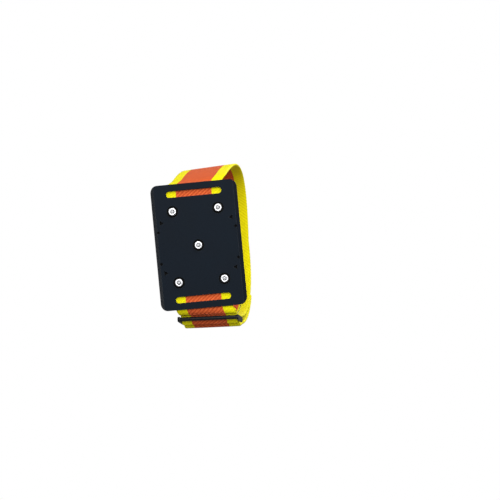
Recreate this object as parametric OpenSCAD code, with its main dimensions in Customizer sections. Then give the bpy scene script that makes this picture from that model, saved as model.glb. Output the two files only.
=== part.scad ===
// Mid-sole ice cleat: a moulded rubber plate with five carbide studs, held under the waist of a
// boot by one woven strap that closes through a three-bar slide.
// Frame: the centre stud's tip is the origin, +Z up, +X towards the toe, +Y towards the slide.

/* [Plate] */
// Width of the plate along the boot
plate_w = 58; // [56:0.5:70]
// Length of the plate across the boot
plate_l = 84; // [82:0.5:110]
// Thickness of the plate from its ground face to its boot face
plate_t = 8; // [7:0.1:12]
// Radius of the plate's corners seen from below
plate_corner_r = 5; // [2:0.5:8]
// Width of the bevel along the plate's long sides
bevel_w = 2.4; // [1:0.1:4]
// Height of the bevel along the plate's long sides
bevel_h = 4; // [1:0.1:6]
// Floor under the strap where the studs sit
stud_floor_t = 4; // [3.5:0.1:4.6]
// Floor under the strap at the windows and the ends
end_floor_t = 2; // [1.5:0.1:3]
// Length of each window along the strap
window_l = 4.3; // [4:0.1:6]
// Bar of floor left outside each window
outer_bar_w = 4.5; // [3:0.1:5]
// Width of the loop bar over each window
loop_bar_w = 5; // [4:0.1:6]
// Room between the strap and the loop bar over it
loop_room = 0.3; // [0.1:0.05:0.6]
// Diameter of the small round marks on the ground face
mark_d = 2; // [1:0.1:2.4]
// Depth of the small marks on the ground face
mark_depth = 1.6; // [0.4:0.1:2.4]

/* [Studs] */
// Distance between the outer studs along the boot
stud_pitch_x = 30.5; // [26:0.5:31]
// Distance between the outer studs across the boot
stud_pitch_y = 47.5; // [40:0.5:48]
// Diameter of a stud's shank
stud_d = 5.3; // [4.5:0.1:6.5]
// Diameter of a stud's flange
flange_d = 8.6; // [8:0.1:9]
// Thickness of a stud's flange
flange_t = 1.2; // [0.8:0.1:1.6]
// How far a stud's shank stands out of the ground face
stud_reach = 2; // [1:0.1:4]
// Diameter of the moulded dimple round a stud
dimple_d = 7.8; // [7:0.1:9]
// Depth of the moulded dimple round a stud
dimple_depth = 0.8; // [0.3:0.1:1.2]
// Diameter of a carbide pin
pin_d = 2.4; // [1.6:0.1:3]
// How far a carbide pin stands out of its stud
pin_reach = 1.5; // [0.8:0.1:2.5]
// How deep a carbide pin sits in its stud
pin_depth = 3.2; // [2:0.1:4]

/* [Strap] */
// Width of the webbing
strap_w = 38; // [25:0.5:38]
// Thickness of the webbing
strap_t = 1.7; // [1.2:0.1:1.9]
// Height of the strap's crown over its way out of the plate
crown_h = 95; // [80:1:130]
// Lean of the strap's loop towards the toe
lean = 8; // [0:0.5:12]
// Lean of the free side where it leaves the plate
free_lean = 13; // [0:0.5:15]
// Turn of the strap's folds seen from below
skew = 2.5; // [0:0.5:6]
// How far the strap's loop sits towards the toe
drift = 1.5; // [0:0.1:2]
// Length of the tail that is folded back outside
tail_l = 66; // [60:1:80]
// Length of the loop tape on the strap
loop_tape_l = 62; // [40:1:70]
// Length of the hook tape on the tail
hook_tape_l = 42; // [25:1:50]
// Webbing left bare along each edge of the tapes
tape_margin = 4; // [1:0.5:6]
// Thickness of the loop tape
loop_tape_t = 1.4; // [1:0.1:1.8]
// Thickness of the hook tape
hook_tape_t = 1.2; // [0.8:0.1:1.6]

/* [Slide] */
// Diameter of the slide's three bars
bar_d = 2.7; // [2:0.1:3]
// Distance from each bar to the next
bar_pitch = 8; // [8:0.1:10]
// Thickness of the slide's two side bars
side_bar_t = 1.4; // [1.2:0.1:4]
// Distance of the lower bar from the plate's end
lower_bar_out = 7.3; // [7:0.1:10]
// Height of the lower bar over the strap's way out
lower_bar_up = 3.2; // [3:0.1:6]
// Slope of the slide from level
slide_slope = 80; // [74:1:86]

/* [Hidden] */
$fn = 48;

rubber = "#22252c";
webbing = "#e05d28";
metal = "#d8dadd";
carbide = "#7c7f84";
black_plastic = "#17181b";
tape_black = "#1c1c1e";

// Fits
eps = 0.01;              // overshoot of a cut past the face it opens
seat_gap = 0.15;         // between the strap and what it lies on
stud_gap = 0.03;         // between a stud and the hole that grips it
pin_gap = 0.02;          // between a carbide pin and its stud
strap_side_gap = 1.4;    // between the strap's edges and the plate's rails
slide_side_gap = 0.3;    // between the strap's edges and the slide's side bars
eye_gap = 0.1;           // between the middle bar and the sewn eye round it
swing_gap = 1.1;         // between an outer bar and the strap it may tilt towards
tape_gap = 0.3;          // between the hook tape and the loop tape
sewn_gap = 0.1;          // between two layers that are sewn together

// Levels
ground_z = stud_reach + pin_reach;
exit_z = ground_z + end_floor_t + seat_gap + strap_t / 2;
channel_w = strap_w + 2 * strap_side_gap;

// Places along the plate
window_y = plate_l / 2 - outer_bar_w - window_l / 2;
land_w = 1;              // level floor inside each window
window_lip = 0.4;        // floor under each edge of the strap at a window's ends
rim_w = 0.25;            // floor left between a stud's seat and the ramp
ramp_out = window_y - window_l / 2 - land_w;
ramp_in = stud_pitch_y / 2 + flange_d / 2 + rim_w;
mark_inset = 3.2;        // from the plate's side to a round mark
mark_pitch = 21;         // between two round marks on one side
wedge_inset = 5.5;       // from the plate's side to a wedge mark
wedge_pitch = 33.4;      // between two wedge marks on one side
wedge_d = 3.8;           // across the corners of a wedge mark
mark_place = [plate_w / 2 - mark_inset, mark_pitch / 2];
wedge_place = [plate_w / 2 - wedge_inset, wedge_pitch / 2];
stud_places = [
    [0, 0],
    [-stud_pitch_x / 2, -stud_pitch_y / 2],
    [stud_pitch_x / 2, -stud_pitch_y / 2],
    [-stud_pitch_x / 2, stud_pitch_y / 2],
    [stud_pitch_x / 2, stud_pitch_y / 2]];

// Slide and strap, drawn in the plane of one side: out from the plate's end, and up from the
// level at which the strap leaves it
slide_dir = [cos(slide_slope), sin(slide_slope)];
slide_in = [-sin(slide_slope), cos(slide_slope)];
lower_bar = [lower_bar_out, lower_bar_up];
middle_bar = lower_bar + bar_pitch * slide_dir;
upper_bar = middle_bar + bar_pitch * slide_dir;
swing_r = bar_d / 2 + swing_gap + strap_t / 2;
eye_r = bar_d / 2 + eye_gap + strap_t / 2;
side_start = upper_bar + swing_r * slide_in;

// The closing run from the slide's upper bar to the crown
crown_pull = 38;         // how far the crown's curve reaches out level
side_pull = 40;          // how far the side's curve follows the slide's slope
closing_curve = [
    side_start,
    side_start + side_pull * slide_dir,
    [crown_pull - plate_l / 2, crown_h],
    [-plate_l / 2, crown_h]];
// The free run from just over the plate's end to the crown
free_start = [3, 12];
free_slope = 72;         // slope of the run where it starts
free_crown_pull = 50;    // how far the crown's curve reaches out level
free_pull = 60;          // how far the run's curve follows that slope
free_dir = [cos(free_slope), sin(free_slope)];
free_curve = [
    free_start,
    free_start + free_pull * free_dir,
    [free_crown_pull - plate_l / 2, crown_h],
    [-plate_l / 2, crown_h]];
// The free side's foot, drawn tight from its loop bar to that run
foot_in = window_y + loop_bar_w / 2 - plate_l / 2;
foot_out = 2.2;          // how far the foot runs out level
foot_up = 7;             // how far the foot follows the side's slope
foot_curve = [
    [foot_in, 0],
    [foot_in + foot_out, 0],
    free_start - foot_up * free_dir,
    free_start];

function bezier(c, t) = pow(1 - t, 3) * c[0] + 3 * pow(1 - t, 2) * t * c[1]
    + 3 * (1 - t) * t * t * c[2] + pow(t, 3) * c[3];
function bezier_slope(c, t) = let (d = pow(1 - t, 2) * (c[1] - c[0]) + 2 * (1 - t) * t * (c[2] - c[1])
    + t * t * (c[3] - c[2])) atan2(d.y, d.x);

// Length along each upper run against the curve's own parameter
run_steps = 40;
function length_table(c) = [for (i = 0, l = 0; i <= run_steps;
    l = l + norm(bezier(c, (i + 1) / run_steps) - bezier(c, i / run_steps)), i = i + 1) [l, i / run_steps]];
closing_table = length_table(closing_curve);
free_table = length_table(free_curve);
function run_curve(side) = side > 0 ? closing_curve : free_curve;
function run_table(side) = side > 0 ? closing_table : free_table;
run_split = 78;          // where the side runs meet the instep run
tail_settle = 16;        // length over which the tail closes on the strap

// Spacing of the tail from the strap under it
tail_start_off = 2 * swing_r;
tail_off = strap_t + 2 * sewn_gap + loop_tape_t + tape_gap + hook_tape_t;
tape_w = strap_w - 2 * tape_margin;
loop_tape_start = 14;    // from the upper bar to the loop tape
tail_end_margin = 6;     // from the hook tape to the tail's end
function tail_space(length) = let (s = min(1, length / tail_settle))
    tail_start_off + (tail_off - tail_start_off) * s * s * (3 - 2 * s);

// How one side's plane stands: its lean, its turn and its drift towards the toe
slide_stance = [lean, skew, drift];
function run_stance(side, s) = [side > 0 ? lean : free_lean + (lean - free_lean) * s, skew * (1 - s), drift];

// A point of one side's plane in the part's frame
function side_point(side, stance, x, p) = let (
    a = stance[0],
    b = stance[1],
    q = [x * cos(a) + p.y * sin(a) + stance[2], p.x, p.y * cos(a) - x * sin(a)])
    [q.x * cos(b) - q.y * sin(b), side * (plate_l / 2 + q.x * sin(b) + q.y * cos(b)), exit_z + q.z];

// A four-cornered section of webbing across a heading, set off to the heading's right
function section(side, stance, p, heading, w, t, off = 0) = let (
    left = [-sin(heading), cos(heading)],
    c = p - off * left)
    [for (k = [[-1, -1], [1, -1], [1, 1], [-1, 1]])
        side_point(side, stance, k[0] * w / 2, c + k[1] * t / 2 * left)];

// Webbing through a list of sections, turned right side out on the mirrored side
module ribbon(sections, mirrored = false) {
    n = len(sections);
    sides = [for (i = [0:n - 2], j = [0:3], half = [0, 1])
        let (a = 4 * i + j, b = 4 * i + (j + 1) % 4)
        half == 0 ? [a, b, b + 4] : [a, b + 4, a + 4]];
    e = 4 * (n - 1);
    ends = [[0, 3, 2], [0, 2, 1], [e, e + 1, e + 2], [e, e + 2, e + 3]];
    faces = [for (f = concat(sides, ends)) mirrored ? [f[2], f[1], f[0]] : f];
    polyhedron(points = [for (s = sections) each s], faces = faces);
}

// Sections of the upper run between two lengths, set off outwards
run_step = 6;            // greatest length between two sections
function run_sections(side, from, to, w, t, offsets) = let (n = ceil(abs(to - from) / run_step))
    [for (i = [0:n]) let (l = from + (to - from) * i / n, s = lookup(l, run_table(side)), c = run_curve(side))
        section(side, run_stance(side, s), bezier(c, s), bezier_slope(c, s), w, t,
            offsets[0] == "tail" ? tail_space(l) + offsets[1] : offsets[1])];

// Points and headings round a bar, from one heading to another
function arc_path(centre, r, from, to, turn, steps) = [for (i = [0:steps])
    let (h = from + (to - from) * i / steps) [centre + turn * r * [-sin(h), cos(h)], h]];

module rounded_rectangle(size, r) {
    square([size.x - 2 * r, size.y], center = true);
    square([size.x, size.y - 2 * r], center = true);
    for (x = [-1, 1], y = [-1, 1]) translate([x * (size.x / 2 - r), y * (size.y / 2 - r)]) circle(r);
}

// Extrudes an outline drawn across and up along the boot, centred on the strap
module along_x(length) {
    rotate([90, 0, 90]) linear_extrude(length, center = true) children();
}

module plate_body() {
    intersection() {
        linear_extrude(plate_t) rounded_rectangle([plate_w, plate_l], plate_corner_r);
        rotate([90, 0, 0]) linear_extrude(plate_l, center = true) polygon([
            [bevel_w - plate_w / 2, 0],
            [plate_w / 2 - bevel_w, 0],
            [plate_w / 2, bevel_h],
            [plate_w / 2, plate_t],
            [-plate_w / 2, plate_t],
            [-plate_w / 2, bevel_h]]);
    }
}

// The strap's channel is deep at the windows and ramps up over the studs' flanges
module plate_channel() {
    past = plate_l / 2 + 1;
    along_x(channel_w) polygon([
        [-past, end_floor_t],
        [-ramp_out, end_floor_t],
        [-ramp_in, stud_floor_t],
        [ramp_in, stud_floor_t],
        [ramp_out, end_floor_t],
        [past, end_floor_t],
        [past, plate_t + 1],
        [-past, plate_t + 1]]);
}

// A loop bar with its two lower edges rounded, which the strap runs under
module loop_bar() {
    edge_r = 1;
    low = end_floor_t + seat_gap + strap_t + loop_room;
    along_x(channel_w + 2) {
        translate([-loop_bar_w / 2, low + edge_r]) square([loop_bar_w, plate_t - low - edge_r]);
        translate([edge_r - loop_bar_w / 2, low]) square([loop_bar_w - 2 * edge_r, edge_r + eps]);
        for (y = [-1, 1]) translate([y * (loop_bar_w / 2 - edge_r), low + edge_r]) circle(edge_r);
    }
}

// A slot with round ends through the floor, just narrower than the strap
module window() {
    straight = strap_w - 2 * window_lip - window_l;
    translate([0, 0, -1]) linear_extrude(1 + end_floor_t + eps) {
        square([straight, window_l], center = true);
        for (x = [-1, 1]) translate([x * straight / 2, 0]) circle(window_l / 2);
    }
}

// A stud's stepped seat: dimple on the ground face, hole, and room for the flange
module stud_seat() {
    translate([0, 0, -1]) cylinder(d = dimple_d, h = 1 + dimple_depth);
    translate([0, 0, -1]) cylinder(d = stud_d + 2 * stud_gap, h = 1 + stud_floor_t + eps);
    translate([0, 0, stud_floor_t - flange_t - stud_gap])
        cylinder(d = flange_d + 2 * stud_gap, h = plate_t);
}

module plate() {
    color(rubber) translate([0, 0, ground_z]) difference() {
        union() {
            difference() {
                plate_body();
                plate_channel();
            }
            for (y = [-1, 1]) translate([0, y * window_y, 0]) loop_bar();
        }
        for (y = [-1, 1]) translate([0, y * window_y, 0]) window();
        for (p = stud_places) translate(p) stud_seat();
        for (x = [-1, 1], y = [-1, 1]) {
            translate([x * mark_place.x, y * mark_place.y, -1]) cylinder(d = mark_d, h = 1 + mark_depth);
            translate([x * wedge_place.x, y * wedge_place.y, -1]) rotate(x > 0 ? 180 : 0)
                cylinder(d = wedge_d, h = 1 + mark_depth, $fn = 3);
        }
    }
}

// A turned stud: flange on the boot side, shank, chamfered nose and a blind hole for the pin
module stud(i) {
    nose = 0.4;
    top = ground_z + stud_floor_t;
    r = stud_d / 2;
    color(metal) translate(stud_places[i - 1]) rotate_extrude() polygon([
        [0, pin_reach + pin_depth],
        [pin_d / 2, pin_reach + pin_depth],
        [pin_d / 2, pin_reach],
        [r - nose, pin_reach],
        [r, pin_reach + nose],
        [r, top - flange_t],
        [flange_d / 2, top - flange_t],
        [flange_d / 2, top],
        [0, top]]);
}

// A carbide pin with a chamfered flat tip
module carbide_pin(i) {
    tip = 0.35;
    r = pin_d / 2 - pin_gap;
    color(carbide) translate(stud_places[i - 1]) rotate_extrude() polygon([
        [0, 0],
        [r - tip, 0],
        [r, tip],
        [r, pin_reach + pin_depth],
        [0, pin_reach + pin_depth]]);
}

// The run through the plate, level at the ends and raised over the studs
module strap_sole_run() {
    rise = stud_floor_t - end_floor_t;
    stations = [[-plate_l / 2 - foot_in, 0], [-ramp_out, 0], [-ramp_in, rise],
        [ramp_in, rise], [ramp_out, 0], [plate_l / 2, 0]];
    color(webbing) ribbon([for (s = stations)
        section(1, [0, 0, 0], [s.x - plate_l / 2, s.y], 0, strap_w, strap_t)]);
}

// The foot takes on the loop's lean as it goes, and drifts once it is clear of the plate's rails
module strap_free_side() {
    foot_steps = 12;
    foot = [for (i = [0:foot_steps - 1]) let (s = i / foot_steps, k = s * s * (3 - 2 * s))
        section(-1, [k * free_lean, k * skew, pow(k, 3) * drift], bezier(foot_curve, s),
            bezier_slope(foot_curve, s), strap_w, strap_t)];
    color(webbing) ribbon(concat(foot, run_sections(-1, 0, run_split, strap_w, strap_t, ["run", 0])),
        mirrored = true);
}

module strap_instep() {
    up = run_sections(-1, run_split, free_table[run_steps][0], strap_w, strap_t, ["run", 0]);
    down = run_sections(1, closing_table[run_steps][0], run_split, strap_w, strap_t, ["run", 0]);
    color(webbing) ribbon(concat(up, [for (i = [1:len(down) - 1]) down[i]]), mirrored = true);
}

// The closing run comes down inside the slide and folds out under its upper bar
module strap_buckle_side() {
    run = run_sections(1, 0, run_split, strap_w, strap_t, ["run", 0]);
    fold_steps = 12;
    fold = arc_path(upper_bar, swing_r, slide_slope - 180, slide_slope - 360, 1, fold_steps);
    color(webbing) ribbon(concat(
        [for (i = [0:fold_steps - 1]) section(1, slide_stance, fold[i][0], fold[i][1], strap_w, strap_t)],
        run));
}

// The sewn end goes behind the lower bar, round the middle bar and back down inside itself
module strap_anchor_loop() {
    bend_r = 4;              // of the bend up from the plate's end
    bend_steps = 8;
    sewn_steps = 3;          // steps of that bend that the returning layer is sewn along
    back_pull = [5, 3.5];    // how far the returning layer keeps its line at the eye and the seam
    cross = asin((swing_r + eye_r) / bar_pitch);
    lower_in = lower_bar + swing_r * slide_in;
    bend_end = bend_r * [sin(slide_slope), 1 - cos(slide_slope)];
    back_off = strap_t + sewn_gap;
    bend = [for (i = [0:bend_steps]) let (k = i / bend_steps, h = slide_slope * k)
        [bend_r * [sin(h), 1 - cos(h)] + (lower_in - bend_end) * k, h, k]];
    past_lower = arc_path(lower_bar, swing_r, slide_slope, slide_slope - cross, 1, 3);
    eye = arc_path(middle_bar, eye_r, slide_slope - cross, slide_slope + 180, -1, 14);
    back_top = middle_bar + eye_r * slide_in;
    seam_top = lower_in + back_off * slide_in;
    back_curve = [back_top, back_top - back_pull[0] * slide_dir,
        seam_top + back_pull[1] * slide_dir, seam_top];
    back = [for (i = [1:5]) [bezier(back_curve, i / 5), bezier_slope(back_curve, i / 5)]];
    back_bend = [for (i = [1:sewn_steps]) let (b = bend[bend_steps - i])
        [b[0] + back_off * [-sin(b[1]), cos(b[1])], b[1] + 180, b[2]]];
    color(webbing) ribbon(concat(
        [for (b = bend) section(1, b[2] * slide_stance, b[0], b[1], strap_w, strap_t)],
        [for (p = concat([for (i = [1:3]) past_lower[i]], eye, back))
            section(1, slide_stance, p[0], p[1], strap_w, strap_t)],
        [for (b = back_bend) section(1, b[2] * slide_stance, b[0], b[1], strap_w, strap_t)]));
}

module strap_tail() {
    color(webbing) ribbon(run_sections(1, 0, tail_l, strap_w, strap_t, ["tail", 0]));
}

// Hook tape sewn on the tail's inner face
module hook_tape() {
    inwards = -(strap_t / 2 + sewn_gap + hook_tape_t / 2);
    end = tail_l - tail_end_margin;
    color(tape_black) ribbon(run_sections(1, end - hook_tape_l, end, tape_w, hook_tape_t,
        ["tail", inwards]));
}

// Loop tape sewn on the strap's outer face
module loop_tape() {
    outwards = strap_t / 2 + sewn_gap + loop_tape_t / 2;
    end = loop_tape_start + loop_tape_l;
    color(tape_black) ribbon(run_sections(1, loop_tape_start, end, tape_w, loop_tape_t,
        ["run", outwards]));
}

// Three round bars between two flat side bars with round ends
module slide_buckle() {
    inner_w = strap_w + 2 * slide_side_gap;
    side_r = bar_d / 2 + 0.35;
    color(black_plastic) translate([0, plate_l / 2, exit_z]) rotate(skew) translate([drift, 0, 0])
        rotate([0, lean, 0]) translate([0, middle_bar.x, middle_bar.y]) rotate([slide_slope - 90, 0, 0]) {
        for (z = [-1:1]) translate([0, 0, z * bar_pitch]) rotate([0, 90, 0])
            cylinder(d = bar_d, h = inner_w + 2 * eps, center = true);
        for (x = [-1, 1]) translate([x * (inner_w + side_bar_t) / 2, 0, 0]) along_x(side_bar_t) {
            square([2 * side_r, 2 * bar_pitch], center = true);
            for (z = [-1, 1]) translate([0, z * bar_pitch]) circle(side_r);
        }
    }
}

plate();
for (i = [1:5]) stud(i);
for (i = [1:5]) carbide_pin(i);
strap_sole_run();
strap_free_side();
strap_instep();
strap_buckle_side();
strap_anchor_loop();
strap_tail();
slide_buckle();
hook_tape();
loop_tape();
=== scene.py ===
# %% [markdown]
# # A mid-sole ice cleat
# The real thing is a moulded rubber plate with five carbide studs. It is worn under the arch of the
# foot and is held there by one woven strap, which closes through a three-bar slide. The solids come
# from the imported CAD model. This lesson dresses them: it gives each piece its finish, its rounded
# edges, its weave and its stitches, and leaves every size where the CAD model has it.

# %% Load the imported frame
import math

import bmesh
import bpy
import numpy as np
from mathutils import Matrix, Vector


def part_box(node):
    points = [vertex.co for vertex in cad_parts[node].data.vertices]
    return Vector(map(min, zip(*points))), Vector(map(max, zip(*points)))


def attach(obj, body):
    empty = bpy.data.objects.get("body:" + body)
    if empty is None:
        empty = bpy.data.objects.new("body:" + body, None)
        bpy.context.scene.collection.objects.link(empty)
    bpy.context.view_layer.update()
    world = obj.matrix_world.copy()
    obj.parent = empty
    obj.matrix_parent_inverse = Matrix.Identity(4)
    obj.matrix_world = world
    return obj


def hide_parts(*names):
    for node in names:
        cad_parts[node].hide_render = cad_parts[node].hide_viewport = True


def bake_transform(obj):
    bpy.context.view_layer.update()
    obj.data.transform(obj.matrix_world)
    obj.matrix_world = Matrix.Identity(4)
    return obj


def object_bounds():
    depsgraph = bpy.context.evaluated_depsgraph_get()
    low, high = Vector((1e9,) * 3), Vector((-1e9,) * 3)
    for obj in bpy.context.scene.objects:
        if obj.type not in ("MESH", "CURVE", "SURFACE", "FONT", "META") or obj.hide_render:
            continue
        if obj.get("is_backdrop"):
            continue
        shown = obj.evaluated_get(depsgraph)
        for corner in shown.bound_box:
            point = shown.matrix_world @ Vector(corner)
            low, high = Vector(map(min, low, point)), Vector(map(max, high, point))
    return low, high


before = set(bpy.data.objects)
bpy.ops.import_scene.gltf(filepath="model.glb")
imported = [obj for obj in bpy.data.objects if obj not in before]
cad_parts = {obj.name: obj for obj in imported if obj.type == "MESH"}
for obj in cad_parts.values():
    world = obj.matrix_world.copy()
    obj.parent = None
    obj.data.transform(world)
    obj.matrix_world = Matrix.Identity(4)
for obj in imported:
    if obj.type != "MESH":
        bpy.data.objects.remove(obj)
cad_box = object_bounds()
MM = 0.001

# %% [markdown]
# ## Camera
# The photograph looks straight up at the ground side of the plate from about a metre away. The
# plate is turned a little in the picture. A camera is just a matrix with three columns: its right,
# its up, and the way back from what it sees. Writing them out is clearer here than stacking angles.

# %% Camera
PIXELS = 500
MM_PER_PIXEL = 0.667
CENTRE_STUD_PIXEL = (198.5, 245.1)
PICTURE_TURN = math.radians(5.4)
CAMERA_DISTANCE = 1.0
SENSOR = 36.0
CLIP_START = 0.01


def new_object(name, data):
    """An object in the scene for a mesh, a light or a camera."""
    obj = bpy.data.objects.new(name, data)
    bpy.context.collection.objects.link(obj)
    return obj


turn_c, turn_s = math.cos(PICTURE_TURN), math.sin(PICTURE_TURN)
cam_right = Vector((turn_c, turn_s, 0.0))
cam_up = Vector((turn_s, -turn_c, 0.0))
cam_back = Vector((0.0, 0.0, -1.0))
pixel = MM_PER_PIXEL * MM
axis_foot = (cam_right * (PIXELS / 2 - CENTRE_STUD_PIXEL[0])
             + cam_up * (CENTRE_STUD_PIXEL[1] - PIXELS / 2)) * pixel

camera_data = bpy.data.cameras.new("camera")
camera_data.sensor_width = SENSOR
camera_data.lens = SENSOR * CAMERA_DISTANCE / (PIXELS * pixel)
camera_data.clip_start = CLIP_START
camera = new_object("camera", camera_data)
ground_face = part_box("plate")[0][2]
camera_at = axis_foot + cam_back * CAMERA_DISTANCE + Vector((0.0, 0.0, ground_face))
camera_axes = Matrix((cam_right, cam_up, cam_back)).transposed().to_4x4()
camera.matrix_world = Matrix.Translation(camera_at) @ camera_axes
bpy.context.scene.camera = camera
print("camera lens %.1f mm at %s" % (camera_data.lens, tuple(round(v, 3) for v in camera_at)))

# %% [markdown]
# ## Floor and light
# The studs stand on a plain pale floor, and the camera looks up through it. The floor's finish is
# clear on its lower face, so the same floor holds the part in views from above and is not in the
# way from below. Away from the part it fades to white. Soft square lights stand on both sides of
# it, and a pale sky fills the shadows. Those below count only where they fall first, or they would
# throw the colour of the strap down on the floor.

# %% Helpers for meshes and node trees
def new_mesh(name, verts, edges=(), faces=()):
    """A mesh from its points, with the edges or faces that join them."""
    mesh = bpy.data.meshes.new(name)
    mesh.from_pydata(verts, edges, faces)
    return mesh


def new_material(name):
    """A material with a Principled BSDF, and the tree to build on."""
    material = bpy.data.materials.new(name)
    material.use_nodes = True
    tree = material.node_tree
    return material, tree, tree.nodes["Principled BSDF"]


def feed(tree, socket, value):
    """Links an input to a socket or to a node's first output, or sets it to a plain value."""
    if isinstance(value, bpy.types.Node):
        value = value.outputs[0]
    if isinstance(value, bpy.types.NodeSocket):
        tree.links.new(value, socket)
    else:
        socket.default_value = value


def add(tree, kind, inputs=None, **settings):
    """One node with its own settings, and its inputs given by name or place."""
    node = tree.nodes.new(kind)
    for key, value in settings.items():
        setattr(node, key, value)
    for key, value in (inputs or {}).items():
        feed(tree, node.inputs[key], value)
    return node


def math_node(tree, operation, a, b=None, c=None):
    """A Math node, fed by nodes, sockets or numbers."""
    inputs = {i: v for i, v in enumerate((a, b, c)) if v is not None}
    return add(tree, "ShaderNodeMath", inputs, operation=operation)


def place_on(tree):
    """Where a point of the piece is, in the part's frame."""
    return add(tree, "ShaderNodeTexCoord").outputs["Object"]


# %% Floor
FLOOR_HALF = 3.0
FLOOR_CORNERS = ((-1, -1), (1, -1), (1, 1), (-1, 1))
FLOOR_TONE, FLOOR_ROUGHNESS = (0.78, 0.79, 0.80, 1.0), 0.85
FADE_START, FADE_END = 0.15, 0.75

floor_points = [(x * FLOOR_HALF, y * FLOOR_HALF, 0.0) for x, y in FLOOR_CORNERS]
floor_mesh = new_mesh("floor", floor_points, faces=[(0, 1, 2, 3)])
floor = new_object("floor", floor_mesh)
floor_finish, tree, shader = new_material("pale_floor")
shader.inputs["Base Color"].default_value = FLOOR_TONE
shader.inputs["Roughness"].default_value = FLOOR_ROUGHNESS
away = add(tree, "ShaderNodeVectorMath", {0: place_on(tree)}, operation="LENGTH").outputs["Value"]
fade = add(tree, "ShaderNodeMapRange",
           {"Value": away, "From Min": FADE_START, "From Max": FADE_END},
           interpolation_type="SMOOTHSTEP")
white = add(tree, "ShaderNodeEmission")
upper_face = add(tree, "ShaderNodeMixShader", {0: fade, 1: shader, 2: white})
lower_face = add(tree, "ShaderNodeBsdfTransparent")
from_below = add(tree, "ShaderNodeNewGeometry").outputs["Backfacing"]
both_faces = add(tree, "ShaderNodeMixShader", {0: from_below, 1: upper_face, 2: lower_face})
feed(tree, tree.nodes["Material Output"].inputs["Surface"], both_faces)
floor_mesh.materials.append(floor_finish)
floor.visible_diffuse = floor.visible_glossy = False
floor.visible_transmission = floor.visible_shadow = False
floor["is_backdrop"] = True
print("floor: %.0f m wide, white from %.2f m on" % (2 * FLOOR_HALF, FADE_END))

# %% Lights
SKY_SEEN, SKY_LIGHT = 1.0, 0.24
world = bpy.data.worlds.new("studio")
bpy.context.scene.world = world
world.use_nodes = True
sky = world.node_tree.nodes["Background"]
sky.inputs["Color"].default_value = (1.0, 1.0, 1.0, 1.0)
seen = add(world.node_tree, "ShaderNodeLightPath").outputs["Is Camera Ray"]
strength = add(world.node_tree, "ShaderNodeMapRange",
               {"Value": seen, "To Min": SKY_LIGHT, "To Max": SKY_SEEN})
feed(world.node_tree, sky.inputs["Strength"], strength)
bpy.context.scene.view_settings.view_transform = "Standard"

# Each light's place and side in metres, and its power in watts.
LIGHTS = {
    "below_middle": ((0.08, -0.34, -1.20), 0.60, 13.0),
    "below_right": ((0.45, -0.80, -0.60), 0.60, 5.8),
    "below_left": ((-0.50, -0.60, -0.70), 0.70, 1.5),
    "above_right": ((0.55, -0.50, 0.90), 0.60, 9.0),
    "above_left": ((-0.70, 0.25, 0.95), 0.80, 6.0),
}
LIGHT_AIM = Vector((0.0, 0.0, 0.03))
for name, (spot, size, power) in LIGHTS.items():
    light_data = bpy.data.lights.new(name, "AREA")
    light_data.size = size
    light_data.energy = power
    if spot[2] < 0.0:
        light_data.cycles.max_bounces = 0
    light = new_object(name, light_data)
    light.location = spot
    light.rotation_euler = (LIGHT_AIM - Vector(spot)).to_track_quat("-Z", "Y").to_euler()
    light.visible_camera = False
print("lights:", ", ".join(LIGHTS))

# %% [markdown]
# ## Shared surface effects
# Most finishes need the same fine, irregular grain, and the webbing needs yarns that cross in a
# weave. Such an effect could be written out in every material, but a shader node group is built
# once and placed wherever it is needed. A group only puts out masks and heights. The shader that
# uses them stays in the material, so an export can still read it.

# %% Grain group
GRAIN_DETAIL, GRAIN_ROUGHNESS = 3.0, 0.55


def new_tree(kind, name, inputs, outputs):
    """A node tree with named inputs and outputs, and the sockets at its two ends."""
    tree = bpy.data.node_groups.new(name, kind + "NodeTree")
    for way, sockets in (("INPUT", inputs), ("OUTPUT", outputs)):
        for label, socket in sockets.items():
            tree.interface.new_socket(label, in_out=way, socket_type="NodeSocket" + socket)
    first, last = tree.nodes.new("NodeGroupInput"), tree.nodes.new("NodeGroupOutput")
    return tree, first.outputs, last.inputs


grain, g_in, g_out = new_tree(
    "Shader", "grain", {"Place": "Vector", "Grain Size": "Float", "Patch Size": "Float"},
    {"Grain": "Float", "Patches": "Float"})
for label, size in (("Grain", "Grain Size"), ("Patches", "Patch Size")):
    per_metre = math_node(grain, "DIVIDE", 1.0, g_in[size])
    noise = add(grain, "ShaderNodeTexNoise", {
        "Vector": g_in["Place"], "Scale": per_metre, "Detail": GRAIN_DETAIL,
        "Roughness": GRAIN_ROUGHNESS})
    feed(grain, g_out[label], noise)
print("group:", grain.name)

# %% Weave group
FULL_TURN = 2.0 * math.pi
FLOAT_RISE = 0.95
SHADE_POWER = 0.5
weave, w_in, w_out = new_tree(
    "Shader", "weave", {"Across And Along": "Vector", "End Width": "Float",
                        "Pick Length": "Float", "Float Picks": "Float", "Step": "Float"},
    {"Height": "Float", "Shade": "Float", "Yarn": "Float"})


def on_weave(operation, a, b=None, c=None):
    return math_node(weave, operation, a, b, c)


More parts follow.
